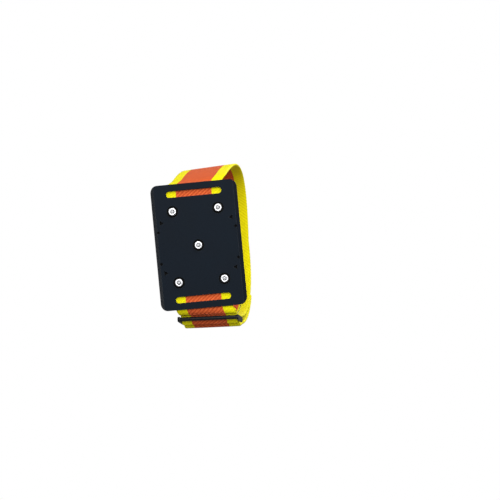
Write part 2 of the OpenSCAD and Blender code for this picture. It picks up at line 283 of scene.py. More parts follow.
split = add(weave, "ShaderNodeSeparateXYZ", {0: w_in["Across And Along"]}).outputs
ends = on_weave("DIVIDE", split[0], w_in["End Width"])
picks = on_weave("DIVIDE", split[1], w_in["Pick Length"])
end_number = on_weave("FLOOR", ends)
round_yarn = on_weave("SINE", on_weave("MULTIPLY", on_weave("FRACT", ends), math.pi))
stepped_picks = on_weave("MULTIPLY_ADD", end_number, w_in["Step"], picks)
floats = on_weave("DIVIDE", stepped_picks, w_in["Float Picks"])
float_wave = on_weave("SINE", on_weave("MULTIPLY", floats, FULL_TURN))
float_hump = on_weave("MULTIPLY_ADD", float_wave, 0.5, 0.5)
float_height = on_weave("MULTIPLY_ADD", float_hump, FLOAT_RISE, 1.0 - FLOAT_RISE)
height = on_weave("MULTIPLY", round_yarn, float_height)
feed(weave, w_out["Height"], height)
# Shade is painted shade: darker in the valleys between the yarns and their floats.
feed(weave, w_out["Shade"], on_weave("POWER", height, SHADE_POWER))
yarn_key = add(weave, "ShaderNodeCombineXYZ", {0: end_number, 1: on_weave("FLOOR", floats)})
yarn = add(weave, "ShaderNodeTexWhiteNoise", {"Vector": yarn_key}, noise_dimensions="2D")
feed(weave, w_out["Yarn"], yarn.outputs["Value"])
print("group:", weave.name)

# %% [markdown]
# ## Finishes
# Rubber is nearly black and matt, with a fine mould grain, a paler rim that is partly rubbed wear
# and partly a painted highlight, and painted shade in its small hollows. The webbing is orange with
# a yellow band along each edge, and its yarns float over each other in slanting twill lines, with
# painted shade in the valleys between them. The studs are turned aluminium, and their pins are dull
# sintered carbide. The slide is glossy black plastic, and the two tapes are black nylon. Pictures
# of such surfaces could be wrapped round the pieces, but patterns made by nodes stay sharp at any
# distance and fit every piece.

# %% Helpers for finishes
def blend_colour(tree, mask, a, b):
    """Two colours, or colour sockets, mixed by a mask."""
    node = add(tree, "ShaderNodeMix", {0: mask}, data_type="RGBA")
    for socket, colour in ((node.inputs[6], a), (node.inputs[7], b)):
        feed(tree, socket, (*colour, 1.0) if isinstance(colour, tuple) else colour)
    return node.outputs[2]


def between(tree, mask, low, high):
    """A mask in 0 to 1 spread over a range of numbers."""
    return add(tree, "ShaderNodeMapRange", {"Value": mask, "To Min": low, "To Max": high})


def attribute(tree, name):
    """A number that the piece's own mesh carries."""
    return add(tree, "ShaderNodeAttribute", attribute_name=name).outputs["Fac"]


def use_group(tree, group, **values):
    """A group in a material, with its inputs given by name, underscores for spaces."""
    inputs = {key.replace("_", " "): value for key, value in values.items()}
    return add(tree, "ShaderNodeGroup", inputs, node_tree=group).outputs


def grained(name, grain_size, patch_size):
    """A material with the grain group in it, at sizes in metres."""
    material, tree, shader = new_material(name)
    spread = use_group(tree, grain, Place=place_on(tree), Grain_Size=grain_size,
                       Patch_Size=patch_size)
    return material, tree, shader, spread


def dress(tree, shader, colour, mask, roughness, height, depth, strength):
    """Gives a shader its colour, a roughness spread over a range by a mask, and a bump."""
    feed(tree, shader.inputs["Base Color"], colour)
    feed(tree, shader.inputs["Roughness"], between(tree, mask, *roughness))
    bump = add(tree, "ShaderNodeBump", {"Height": height, "Distance": depth, "Strength": strength})
    feed(tree, shader.inputs["Normal"], bump)


# %% Rubber
RUBBER_DARK, RUBBER_PALE = (0.0032, 0.0062, 0.0110), (0.0062, 0.0106, 0.0174)
# A paler rim along the edges: partly rubbed wear and partly a painted highlight.
RUBBER_RUBBED_AND_HIGHLIT = (0.060, 0.068, 0.078)
# Painted shade: the floors of the small marks and the stud dimples are painted near-black.
RUBBER_PAINTED_SHADE = (0.0010, 0.0012, 0.0016)
RUB_AND_HIGHLIGHT_LEAST, RUB_AND_HIGHLIGHT_MOST = 0.35, 1.0
rubber, tree, shader, spread = grained("rubber", grain_size=0.0007, patch_size=0.014)
tone = blend_colour(tree, spread["Patches"], RUBBER_DARK, RUBBER_PALE)
# The edge mark paints the rim paler in patches, partly as wear and partly as a painted highlight.
rub_and_highlight = between(tree, spread["Patches"], RUB_AND_HIGHLIGHT_LEAST, RUB_AND_HIGHLIGHT_MOST)
paler_edge = math_node(tree, "MULTIPLY", attribute(tree, "edge"), rub_and_highlight)
worn_and_highlit = blend_colour(tree, paler_edge, tone, RUBBER_RUBBED_AND_HIGHLIT)
# The hollow mask lays painted shade over the rubber's colour.
dress(tree, shader, colour=blend_colour(tree, attribute(tree, "hollow"), worn_and_highlit, RUBBER_PAINTED_SHADE),
      mask=spread["Patches"], roughness=(0.50, 0.68),
      height=spread["Grain"], depth=0.00012, strength=0.5)
shader.inputs["Specular IOR Level"].default_value = 0.06
print("finish:", rubber.name)

# %% Webbing
# The darker orange and yellow are painted shade, taken in the valleys of the weave.
ORANGE, ORANGE_SHADED = (1.00, 0.205, 0.060), (0.36, 0.032, 0.007)
YELLOW, YELLOW_SHADED = (1.00, 0.95, 0.006), (0.74, 0.64, 0.004)
STRAP_W = 38.0
BAND_W = 7.0
YARN_DULL, YARN_BRIGHT = 0.82, 1.0
webbing, tree, shader = new_material("webbing")
across_along = add(tree, "ShaderNodeUVMap", uv_map="weave")
yarns = use_group(tree, weave, Across_And_Along=across_along, End_Width=0.00072,
                  Pick_Length=0.00058, Float_Picks=4.0, Step=-1.0)
across = add(tree, "ShaderNodeSeparateXYZ", {0: across_along})
from_middle = math_node(tree, "ABSOLUTE", math_node(tree, "SUBTRACT", across, STRAP_W / 2 * MM))
in_band = math_node(tree, "GREATER_THAN", from_middle, (STRAP_W / 2 - BAND_W) * MM)
lit = blend_colour(tree, in_band, ORANGE, YELLOW)
# Painted shade: the weave's Shade mask darkens the colour towards the darker tones in its valleys.
shaded_tone = blend_colour(tree, in_band, ORANGE_SHADED, YELLOW_SHADED)
yarn_tone = between(tree, yarns["Yarn"], YARN_DULL, YARN_BRIGHT)
shade = math_node(tree, "MULTIPLY", yarns["Shade"], yarn_tone)
dress(tree, shader, colour=blend_colour(tree, shade, shaded_tone, lit),
      mask=yarns["Yarn"], roughness=(0.62, 0.80),
      height=yarns["Height"], depth=0.00022, strength=0.8)
shader.inputs["Sheen Weight"].default_value = 0.02
shader.inputs["Specular IOR Level"].default_value = 0.03
print("finish:", webbing.name)

# %% Turned aluminium and carbide
STUD_DARK, STUD_PALE = (0.46, 0.47, 0.49), (0.62, 0.62, 0.63)
CARBIDE_DARK, CARBIDE_PALE = (0.40, 0.405, 0.415), (0.56, 0.565, 0.575)
RING_PITCH = 0.00022
stud_metal, tree, shader, spread = grained("stud_metal", grain_size=0.0004, patch_size=0.0022)
ring_turns = math_node(tree, "MULTIPLY", attribute(tree, "turned"), FULL_TURN / RING_PITCH)
dress(tree, shader, colour=blend_colour(tree, spread["Patches"], STUD_DARK, STUD_PALE),
      mask=spread["Grain"], roughness=(0.32, 0.48),
      height=math_node(tree, "SINE", ring_turns), depth=0.00001, strength=0.6)
shader.inputs["Metallic"].default_value = 1.0

carbide, tree, shader, spread = grained("carbide", grain_size=0.00025, patch_size=0.0012)
dress(tree, shader, colour=blend_colour(tree, spread["Patches"], CARBIDE_DARK, CARBIDE_PALE),
      mask=spread["Grain"], roughness=(0.52, 0.72),
      height=spread["Grain"], depth=0.00003, strength=0.6)
shader.inputs["Metallic"].default_value = 0.55
print("finishes:", stud_metal.name, carbide.name)

# %% Moulded plastic, tapes and thread
SLIDE_DARK, SLIDE_PALE = (0.0055, 0.0070, 0.0095), (0.010, 0.012, 0.015)
# The colour and share by which the slide's edges are painted paler.
SLIDE_PALE_EDGE, SLIDE_EDGE_SHARE = (0.05, 0.052, 0.056), 0.35
NYLON_DULL, NYLON_BRIGHT, NYLON_SPREAD = 0.6, 1.4, 0.1
slide_plastic, tree, shader, spread = grained("slide_plastic", grain_size=0.0009, patch_size=0.008)
tone = blend_colour(tree, spread["Patches"], SLIDE_DARK, SLIDE_PALE)
# The edge mark paints the slide's edges paler.
paler_edge = math_node(tree, "MULTIPLY", attribute(tree, "edge"), SLIDE_EDGE_SHARE)
dress(tree, shader, colour=blend_colour(tree, paler_edge, tone, SLIDE_PALE_EDGE),
      mask=spread["Patches"], roughness=(0.26, 0.40),
      height=spread["Grain"], depth=0.00004, strength=0.35)
shader.inputs["Specular IOR Level"].default_value = 0.16


def nylon(name, dark, pale, roughness, sheen):
    """Nylon with the tone of its yarns broken up."""
    material, tree, shader, spread = grained(name, grain_size=0.0005, patch_size=0.004)
    uneven = between(tree, spread["Patches"], NYLON_DULL, NYLON_BRIGHT)
    mixed = math_node(tree, "MULTIPLY", spread["Grain"], uneven)
    dress(tree, shader, colour=blend_colour(tree, mixed, dark, pale),
          mask=spread["Grain"], roughness=(roughness - NYLON_SPREAD, roughness + NYLON_SPREAD),
          height=spread["Grain"], depth=0.00008, strength=0.5)
    shader.inputs["Sheen Weight"].default_value = sheen
    return material


# Each nylon's dark tone, pale tone, roughness and sheen.
NYLONS = {
    "loop_tape": ((0.006, 0.006, 0.007), (0.030, 0.030, 0.033), 0.75, 0.30),
    "hook_tape": ((0.006, 0.006, 0.007), (0.022, 0.022, 0.024), 0.40, 0.0),
    "black_thread": ((0.008, 0.008, 0.009), (0.028, 0.028, 0.030), 0.50, 0.1),
    "orange_thread": ((0.42, 0.045, 0.008), (0.80, 0.12, 0.022), 0.50, 0.1),
}
loop_nylon, hook_nylon, black_thread, orange_thread = (
    nylon(name, *look) for name, look in NYLONS.items())
print("finishes:", len(bpy.data.materials))

# %% [markdown]
# ## The strap's route
# One length of webbing starts at its sewn end, goes round the slide's middle bar, through the
# plate, up the free side, over the instep and down to the slide, where it turns back on itself.
# A real strap keeps its width and only bends, so the route is a row of stations: a middle point,
# the direction of the width, and the direction of the outer face. It could be drawn by hand as a
# curve, but then cloth and solids would drift apart, so the formulas and sizes are those of the CAD
# source. They are in millimetres, in the leaning plane of one side: out from the plate, and up.

# %% Sizes of the route
def heading_of(angle):
    return np.array([math.cos(angle), math.sin(angle)])


def left_of(angle):
    """The direction to the left of a heading."""
    return np.array([-math.sin(angle), math.cos(angle)])


STRAP_T = 1.7
PLATE_L = 84.0
EXIT_Z = 6.5
LEAN, FREE_LEAN, SKEW, DRIFT = 8.0, 13.0, 2.5, 1.5
SLOPE, FREE_SLOPE = math.radians(80.0), math.radians(72.0)
BAR_PITCH = 8.0
SWING_R, EYE_R, BEND_R = 3.3, 2.3, 4.0
CROWN_H = 95.0
SIDE_PULL, CROWN_PULL = 40.0, 38.0
FREE_PULL, FREE_CROWN_PULL = 60.0, 50.0
FOOT_OUT, FOOT_UP = 2.2, 7.0
RAMP_OUT, RAMP_L, RAMP_RISE = 32.2, 3.9, 2.0
TAIL_L, TAIL_OFF, TAIL_SETTLE = 66.0, 4.8, 16.0
SEWN_GAP = 0.1

SLIDE_DIR, SLIDE_IN = heading_of(SLOPE), left_of(SLOPE)
LOWER_BAR = np.array([7.3, 3.2])
MIDDLE_BAR = LOWER_BAR + BAR_PITCH * SLIDE_DIR
UPPER_BAR = MIDDLE_BAR + BAR_PITCH * SLIDE_DIR
SIDE_START = UPPER_BAR + SWING_R * SLIDE_IN
CROWN = np.array([-PLATE_L / 2, CROWN_H])
CLOSING_CURVE = [SIDE_START, SIDE_START + SIDE_PULL * SLIDE_DIR, CROWN + [CROWN_PULL, 0.0], CROWN]
FREE_DIR = heading_of(FREE_SLOPE)
FREE_START = np.array([3.0, 12.0])
FREE_CURVE = [FREE_START, FREE_START + FREE_PULL * FREE_DIR, CROWN + [FREE_CROWN_PULL, 0.0], CROWN]
RUN_CURVES = {1: CLOSING_CURVE, -1: FREE_CURVE}
FOOT_IN = np.array([-4.15, 0.0])
FOOT_CURVE = [FOOT_IN, FOOT_IN + [FOOT_OUT, 0.0], FREE_START - FOOT_UP * FREE_DIR, FREE_START]
SLIDE_STANCE = np.array([LEAN, SKEW, DRIFT])
print("slide's bars in its side's plane:", LOWER_BAR, MIDDLE_BAR.round(2), UPPER_BAR.round(2))


# %% Points of one side's plane
def run_stance(side, t):
    """How one side's plane stands along the upper run: lean, turn, and drift to the toe."""
    lean = LEAN if side > 0 else FREE_LEAN + (LEAN - FREE_LEAN) * t
    return np.array([lean, SKEW * (1 - t), DRIFT])


def side_point(side, stance, x, p):
    """A point of one side's leaning plane in the part's frame."""
    a, b = math.radians(stance[0]), math.radians(stance[1])
    qx = x * math.cos(a) + p[1] * math.sin(a) + stance[2]
    qz = p[1] * math.cos(a) - x * math.sin(a)
    return np.array([qx * math.cos(b) - p[0] * math.sin(b),
                     side * (PLATE_L / 2 + qx * math.sin(b) + p[0] * math.cos(b)), EXIT_Z + qz])


def station(side, stance, p):
    """A middle point and the direction of the width."""
    middle = side_point(side, stance, 0.0, p)
    return middle, side_point(side, stance, 1.0, p) - middle


def bezier(c, t):
    u = 1 - t
    return u ** 3 * c[0] + 3 * u ** 2 * t * c[1] + 3 * u * t * t * c[2] + t ** 3 * c[3]


def bezier_left(c, t):
    """The direction to the left of a curve's heading."""
    u = 1 - t
    d = u ** 2 * (c[1] - c[0]) + 2 * u * t * (c[2] - c[1]) + t * t * (c[3] - c[2])
    d = d / np.linalg.norm(d)
    return np.array([-d[1], d[0]])


def running_length(points):
    """The length along a row of points, at each of them."""
    hops = np.linalg.norm(np.diff(points, axis=0), axis=1)
    return np.concatenate([[0.0], np.cumsum(hops)])


RUN_STEPS = 40
run_shares = np.arange(RUN_STEPS + 1) / RUN_STEPS
run_lengths = {side: running_length(np.array([bezier(curve, t) for t in run_shares]))
               for side, curve in RUN_CURVES.items()}
CLOSING_L, FREE_L = run_lengths[1][-1], run_lengths[-1][-1]
print("upper runs: closing %.1f mm, free %.1f mm" % (CLOSING_L, FREE_L))

# %% The runs, one by one
STEP = 0.4
SEWN_TIP = 5 / 8
BACK_PULL, SEAM_PULL = 5.0, 3.5
TIP_POINTS, BACK_POINTS, EYE_POINTS, BAR_POINTS = 10, 18, 34, 8
BEND_POINTS, FOOT_POINTS, FOLD_POINTS = 20, 60, 26


def ease(s):
    return s * s * (3 - 2 * s)


def steps(start, end):
    return np.linspace(start, end, max(2, int(abs(end - start) / STEP) + 1))


def upper_run(side, start, end, out=lambda length: 0.0):
    """Stations along the upper run between two lengths, set off outwards."""
    rows = []
    for length in steps(start, end):
        t = float(np.interp(length, run_lengths[side], run_shares))
        p = bezier(RUN_CURVES[side], t) - out(length) * bezier_left(RUN_CURVES[side], t)
        rows.append(station(side, run_stance(side, t), p))
    return rows


def tail_space(length):
    """How far the tail lies outside the run, closing up over its first part."""
    return 2 * SWING_R + (TAIL_OFF - 2 * SWING_R) * ease(min(1.0, length / TAIL_SETTLE))


def bend_arc(angle):
    return BEND_R * np.array([math.sin(angle), 1 - math.cos(angle)])


def bend_place(k):
    """The round bend up from the plate's end, drawn on to the lower bar's inner side."""
    off = LOWER_BAR + SWING_R * SLIDE_IN - bend_arc(SLOPE)
    return bend_arc(SLOPE * k) + off * k, SLOPE * k


def sewn_end():
    """From the tip of the sewn layer, up and round the middle bar, and down to the plate's end."""
    back = STRAP_T + SEWN_GAP
    cross = math.asin((SWING_R + EYE_R) / BAR_PITCH)
    seam_top = LOWER_BAR + (SWING_R + back) * SLIDE_IN
    back_top = MIDDLE_BAR + EYE_R * SLIDE_IN
    back_curve = [back_top, back_top - BACK_PULL * SLIDE_DIR, seam_top + SEAM_PULL * SLIDE_DIR,
                  seam_top]
    rows = []
    for k in np.linspace(SEWN_TIP, 1.0, TIP_POINTS):
        p, angle = bend_place(k)
        rows.append(station(1, k * SLIDE_STANCE, p + back * left_of(angle)))
    rows += [station(1, SLIDE_STANCE, bezier(back_curve, t))
             for t in np.linspace(1, 0, BACK_POINTS)[1:]]
    rows += [station(1, SLIDE_STANCE, MIDDLE_BAR - EYE_R * left_of(angle))
             for angle in np.linspace(SLOPE + math.pi, SLOPE - cross, EYE_POINTS)[1:]]
    rows += [station(1, SLIDE_STANCE, LOWER_BAR + SWING_R * left_of(angle))
             for angle in np.linspace(SLOPE - cross, SLOPE, BAR_POINTS)[1:]]
    rows += [station(1, k * SLIDE_STANCE, bend_place(k)[0])
             for k in np.linspace(1.0, 0.0, BEND_POINTS)[1:]]
    return rows


def sole_run():
    """Through the plate: level at the windows, up over the studs' flanges, level again."""
    def rise(y):
        return RAMP_RISE * ease(min(1.0, max(0.0, (RAMP_OUT - abs(y)) / RAMP_L)))
    return [station(1, np.zeros(3), np.array([y - PLATE_L / 2, rise(y)]))
            for y in steps(PLATE_L / 2, -PLATE_L / 2 - FOOT_IN[0])[1:]]


def free_foot():
    """Up from the loop bar to the free run, drifting once it is clear of the plate's rails."""
    rows = []
    for s in np.linspace(0, 1, FOOT_POINTS)[1:]:
        k = ease(s)
        rows.append(station(-1, (k * FREE_LEAN, k * SKEW, k ** 3 * DRIFT), bezier(FOOT_CURVE, s)))
    return rows


def fold(start, end):
    """The turn under the slide's upper bar, between two shares of it."""
    first = SLOPE - FULL_TURN
    angles = np.linspace(first + start * math.pi, first + end * math.pi, FOLD_POINTS)
    return [station(1, SLIDE_STANCE, UPPER_BAR + SWING_R * left_of(angle)) for angle in angles]


# %% From stations to even rows
ROW_STEP = 0.8
TAIL_CORNER, CORNER_ROWS = 3.0, 10


def unit(rows):
    return rows / np.linalg.norm(rows, axis=1)[:, None]


def even_rows(rows, step, fine_end=0.0):
    """Rows at even lengths: middle, width, outer face, and the length along the strap."""
    middle, width = (np.array(column) for column in zip(*rows))
    length = running_length(middle)
    at = np.linspace(0.0, length[-1], int(round(length[-1] / step)) + 1)
    if fine_end:
        extra = np.linspace(0.0, fine_end, CORNER_ROWS)[1:]
        at = np.unique(np.concatenate([at, length[-1] - extra]))
    middle, width = (np.stack([np.interp(at, length, v) for v in rows.T], axis=1)
                     for rows in (middle, width))
    width = unit(width)
    ahead = np.gradient(middle, at, axis=0)
    return middle, width, unit(np.cross(width, ahead)), at


strap_stations = (sewn_end() + sole_run() + free_foot() + upper_run(-1, 0.0, FREE_L)[1:]
                  + upper_run(1, CLOSING_L, 0.0)[1:] + fold(0.0, 0.5)[1:])
tail_stations = fold(0.5, 1.0) + upper_run(1, 0.0, TAIL_L, tail_space)[1:]
strap_rows = even_rows(strap_stations, ROW_STEP)
tail_rows = even_rows(tail_stations, ROW_STEP, fine_end=TAIL_CORNER)

# %% [markdown]
# ## Webbing as a mesh
# The section of woven webbing is a flat bar with round, slightly wavy selvedges, a little fuller in
# the middle. A bevelled curve could carry it, but such a curve chooses its own twist. Sweeping the
# section along the stations keeps its width where it belongs, and gives one closed skin with even
# quads. Its UV map holds real lengths, across and along, so the weave keeps its scale round every
# bend.

# %% Sweep a flat section along rows
EDGE_TURNS = (60, 30, 0, -30, -60)
WAVE_LENGTH, EDGE_POWER = 1.2, 6
SWEPT_SHARP = math.radians(50)


def flat_section(half, thick, columns):
    """Points round a flat bar with round edges: place across, and height."""
    r = thick / 2
    turns = [math.radians(a) for a in EDGE_TURNS]
    edge = [(half - r + r * math.cos(a), r * math.sin(a)) for a in turns]
    top = [((half - r) * share, r) for share in np.linspace(-1.0, 1.0, columns)]
    return top + edge + [(a, -b) for a, b in reversed(top)] + [(-a, -b) for a, b in edge]


def sweep(name, rows, half, thick, columns, material, edge_wave=0.0, corner=0.0, fullness=0.0):
    """A closed skin along the rows, with a UV map of real lengths across and along."""
    middle, width, face, at = rows
    section = flat_section(half, thick, columns)
    count = len(section)
    verts, lengths = [], []
    for i, length in enumerate(at):
        wave = edge_wave * math.sin(FULL_TURN * length / WAVE_LENGTH)
        into_corner = max(0.0, corner - (at[-1] - length))
        cut = corner - math.sqrt(corner ** 2 - into_corner ** 2)
        for a, b in section:
            share = a / half
            reach = a * (1 - cut / half) + math.copysign(wave, a) * abs(share) ** EDGE_POWER
            full = 1.0 + fullness * (1.0 - share * share)
            verts.append((middle[i] + reach * width[i] + b * full * face[i]) * MM)
            lengths.append(((half + a) * MM, length * MM))
    last = (len(at) - 1) * count
    faces = [(i + j, i + (j + 1) % count, i + count + (j + 1) % count, i + count + j)
             for i in range(0, last, count) for j in range(count)]
    faces += [tuple(reversed(range(count))), tuple(range(last, last + count))]
    mesh = new_mesh(name, verts, faces=faces)
    index = np.empty(len(mesh.loops), dtype=np.int32)
    mesh.loops.foreach_get("vertex_index", index)
    mesh.uv_layers.new(name="weave").data.foreach_set("uv", np.array(lengths)[index].ravel())
    mesh.materials.append(material)
    mesh.shade_smooth()
    mesh.set_sharp_from_angle(angle=SWEPT_SHARP)
    return new_object(name, mesh)


# %% Strap
STRAP_COLUMNS = 25
SELVEDGE_WAVE, FULLNESS = 0.10, 0.03
STRAP_NODES = ("strap_sole_run", "strap_free_side", "strap_instep", "strap_buckle_side",
               "strap_anchor_loop")
strap = sweep("strap", strap_rows, STRAP_W / 2, STRAP_T, STRAP_COLUMNS, webbing,
              edge_wave=SELVEDGE_WAVE, fullness=FULLNESS)
tail = sweep("strap_tail_webbing", tail_rows, STRAP_W / 2, STRAP_T, STRAP_COLUMNS, webbing,
             corner=TAIL_CORNER, fullness=FULLNESS)
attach(strap, "cleat")
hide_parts(*STRAP_NODES)
print("strap faces:", len(strap.data.polygons), "tail faces:", len(tail.data.polygons))

# %% [markdown]
# ## The tail
# The tail is the same webbing past the fold. It is a piece of its own because it peels outwards.
# Its transform is baked into its mesh, and the CAD tail is hidden.

# %% Tail
plane_foot = side_point(1, SLIDE_STANCE, 0.0, np.zeros(2))
up_tail = side_point(1, SLIDE_STANCE, 0.0, SLIDE_DIR) - plane_foot
up_tail = Vector([float(v) for v in up_tail]).normalized()
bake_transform(tail)
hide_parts("strap_tail")

# %% [markdown]
# ## Plate and slide
# The CAD solids already have the right shape, but a mould never leaves a perfectly sharp edge. A
# copy of each solid is cleaned of its triangles and gets a narrow bevel. Only the rails' outer rim
# is rounded fully, where it rubs: small features would fold over themselves, so they get a small
# share of the same round. The bevel faces are marked, so that the finish knows where an edge is
# and can paint it paler. On the rubber that paler rim is partly rubbed wear and partly a painted
# highlight.

# %% Rounded copies of CAD nodes
SHARP, FLAT = math.radians(28), math.radians(1.0)
SAME_POINT = 1e-6
ROUND_SEGMENTS = 3
FACE_WEIGHT = 100


def plain_mesh(obj, name):
    """The evaluated object as a plain mesh."""
    graph = bpy.context.evaluated_depsgraph_get()
    mesh = bpy.data.meshes.new_from_object(obj.evaluated_get(graph), depsgraph=graph,
                                           preserve_all_data_layers=True)
    mesh.name = name
    return mesh


def mark(mesh, name, domain, values):
    """Writes one number for each corner or point of a mesh, for its finish to read."""
    mesh.attributes.new(name, "FLOAT", domain).data.foreach_set("value", values)


def all_first_slot(mesh):
    mesh.polygons.foreach_set("material_index", [0] * len(mesh.polygons))


def rounded_copy(name, node, round_w, material, share=lambda point: 1.0):
    """A copy of a CAD node with its sharp edges rounded, each by its share, and marked."""
    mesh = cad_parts[node].data.copy()
    mesh.materials.clear()
    bm = bmesh.new()
    bm.from_mesh(mesh)
    bmesh.ops.remove_doubles(bm, verts=bm.verts, dist=SAME_POINT)
    bmesh.ops.dissolve_limit(bm, angle_limit=FLAT, verts=bm.verts, edges=bm.edges)
    weight = bm.edges.layers.float.new("bevel_weight_edge")
    for edge in bm.edges:
        if edge.is_manifold and edge.calc_face_angle() > SHARP:
            edge[weight] = min(share(v.co) for v in edge.verts)
    bm.to_mesh(mesh)
    bm.free()
    mesh.materials.append(material)
    mesh.materials.append(material)
    all_first_slot(mesh)
    obj = new_object(name, mesh)
    bevel = obj.modifiers.new("round", "BEVEL")
    bevel.width = round_w * MM
    bevel.segments = ROUND_SEGMENTS
    bevel.limit_method = "WEIGHT"
    bevel.use_clamp_overlap = False
    bevel.material = 1
    mesh.shade_smooth()
    obj.modifiers.new("even", "WEIGHTED_NORMAL").weight = FACE_WEIGHT
    rounded = plain_mesh(obj, name)
    bpy.data.objects.remove(obj)
    marks = [float(p.material_index) for p in rounded.polygons for _ in range(p.loop_total)]
    mark(rounded, "edge", "CORNER", marks)
    all_first_slot(rounded)
    rounded.materials.pop(index=1)
    on_edges = 100 * sum(marks) / len(marks)
    print(name, "faces:", len(rounded.polygons), "on edges: %.0f%%" % on_edges)
    return new_object(name, rounded)


# %% Plate
RIM_ROUND, FINE_SHARE = 0.45, 0.11
RIM_Z, RIM_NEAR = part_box("plate")[1][2] / MM, 0.1
RAIL_X = 23.0
HOLLOW_DEPTH = 0.4
MARK, WEDGE, STUD, MIDDLE_STUD = (25.8, 10.5), (23.5, 16.7), (15.25, 23.75), (0.0, 0.0)
HOLLOWS = [(MARK, 1.5), (WEDGE, 2.5), (STUD, 4.2), (MIDDLE_STUD, 4.2)]


def quarter(point):
    """A point in millimetres, folded into the plate's first quarter."""
    return tuple(abs(v) / MM for v in point)


def plate_share(point):
    """How round the plate is at a point: fully on the rails' outer rim, and a little elsewhere."""
    x, y, z = quarter(point)
    on_rim = z > RIM_Z - RIM_NEAR and (x > RAIL_X or y > PLATE_L / 2 - RIM_NEAR)
    return 1.0 if on_rim else FINE_SHARE


def in_hollow(point):
    """Whether a point is on the floor of a small mark or a stud's dimple, where shade is painted.
    """
    x, y, z = quarter(point)
    shaded_tone = z > ground_face / MM + HOLLOW_DEPTH
    return shaded_tone and any(math.dist((x, y), middle) < reach for middle, reach in HOLLOWS)


plate = rounded_copy("rubber_plate", "plate", RIM_ROUND, rubber, plate_share)
# The hollow mask marks where the rubber gets its painted shade.
hollows = [float(in_hollow(f.center)) for f in plate.data.polygons for _ in range(f.loop_total)]
mark(plate.data, "hollow", "CORNER", hollows)
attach(plate, "cleat")
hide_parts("plate")

# %% Slide
SLIDE_ROUND = 0.15
slide = rounded_copy("slide", "slide_buckle", SLIDE_ROUND, slide_plastic)
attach(slide, "slide")
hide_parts("slide_buckle")

# %% [markdown]
# ## Studs and pins
# A stud is turned on a lathe: a flange that the plate holds, a shank, and a nose with a hole for a
# pin of carbide. All five are alike, so one stud is turned from its profile, and Geometry Nodes
# set a copy on each of five points, each turned by its own angle, as they come out of a press.

# %% Turn a profile
STUD_PROFILE = [(0, 4.7), (1.2, 4.7), (1.2, 1.72), (1.27, 1.58), (1.42, 1.5), (2.18, 1.5),
                (2.36, 1.54), (2.52, 1.66), (2.62, 1.82), (2.65, 2.0), (2.65, 6.3), (4.1, 6.3),
                (4.25, 6.36), (4.3, 6.5), (4.3, 7.3), (4.25, 7.44), (4.1, 7.5), (0, 7.5)]
PIN_PROFILE = [(0, 0), (0.62, 0.0), (0.80, 0.04), (0.92, 0.13), (1.06, 0.30), (1.15, 0.44),
               (1.18, 0.60), (1.18, 4.7), (0, 4.7)]
STUD_SIDES, PIN_SIDES = 40, 28
TURNED_SHARP = math.radians(32)


def lathe(name, profile, around):
    """A profile of radius and height turned about Z. Its first and last points are on the axis."""
    verts = [(0.0, 0.0, profile[0][1] * MM)]
    turned = [0.0]
    for r, z in profile[1:-1]:
        for i in range(around):
            a = FULL_TURN * i / around
            verts.append((r * math.cos(a) * MM, r * math.sin(a) * MM, z * MM))
            turned.append((r + z) * MM)
    verts.append((0.0, 0.0, profile[-1][1] * MM))
    turned.append(0.0)
    top = 1 + (len(profile) - 3) * around
    faces = []
    for i in range(around):
        j = (i + 1) % around
        faces.append((0, 1 + j, 1 + i))
        faces += [(a + i, a + j, a + around + j, a + around + i) for a in range(1, top, around)]
        faces.append((top + i, top + j, len(verts) - 1))
    mesh = new_mesh(name, verts, faces=faces)
    bm = bmesh.new()
    bm.from_mesh(mesh)
    bmesh.ops.recalc_face_normals(bm, faces=bm.faces)
    bm.to_mesh(mesh)
    bm.free()
    mark(mesh, "turned", "POINT", turned)
    mesh.shade_smooth()
    mesh.set_sharp_from_angle(angle=TURNED_SHARP)
    print(name, "faces:", len(mesh.polygons))
    return new_object(name, mesh)


stud_shape = lathe("stud_shape", STUD_PROFILE, STUD_SIDES)
pin_shape = lathe("pin_shape", PIN_PROFILE, PIN_SIDES)

# %% Helpers for copies on points
def new_placer(name, **inputs):
    """A Geometry Nodes tree with named inputs, and the sockets to build on."""
    geometry = {"Geometry": "Geometry"}
    return new_tree("Geometry", name, {**geometry, **inputs}, geometry)


def close_tree(tree, copies, finish, out):
    """Makes the copies real, gives them their finish and ends the tree."""
    real = add(tree, "GeometryNodeRealizeInstances", {0: copies})
    done = add(tree, "GeometryNodeSetMaterial", {"Geometry": real, "Material": finish})
    feed(tree, out[0], done)


def run_tree(carrier, tree, name, **values):
    """Runs a tree on a carrier object, and returns its result as a plain mesh object."""
    modifier = carrier.modifiers.new(tree.name, "NODES")
    modifier.node_group = tree
    for item in tree.interface.items_tree:
        if item.in_out == "INPUT" and item.name in values:
            modifier[item.identifier] = values[item.name]
    mesh = plain_mesh(carrier, name)
    mesh.shade_smooth()
    carrier.modifiers.remove(modifier)
    bpy.data.objects.remove(carrier)
    print(name, "faces:", len(mesh.polygons))
    return new_object(name, mesh)


# %% Studs and pins on their points
STUD_NUMBERS = range(1, 6)
STUD_SEED, PIN_SEED = 4, 9
set_tree, t_in, t_out = new_placer("stud_set", Shape="Object", Turn="Float", Seed="Int",
                                   Finish="Material")
shape = add(set_tree, "GeometryNodeObjectInfo", {"Object": t_in["Shape"]})
angle = add(set_tree, "FunctionNodeRandomValue", {3: t_in["Turn"], "Seed": t_in["Seed"]},
            data_type="FLOAT")
about_z = add(set_tree, "ShaderNodeCombineXYZ", {2: angle.outputs[1]})
copies = add(set_tree, "GeometryNodeInstanceOnPoints", {
    "Points": t_in["Geometry"], "Instance": shape.outputs["Geometry"], "Rotation": about_z})
close_tree(set_tree, copies, t_in["Finish"], t_out)


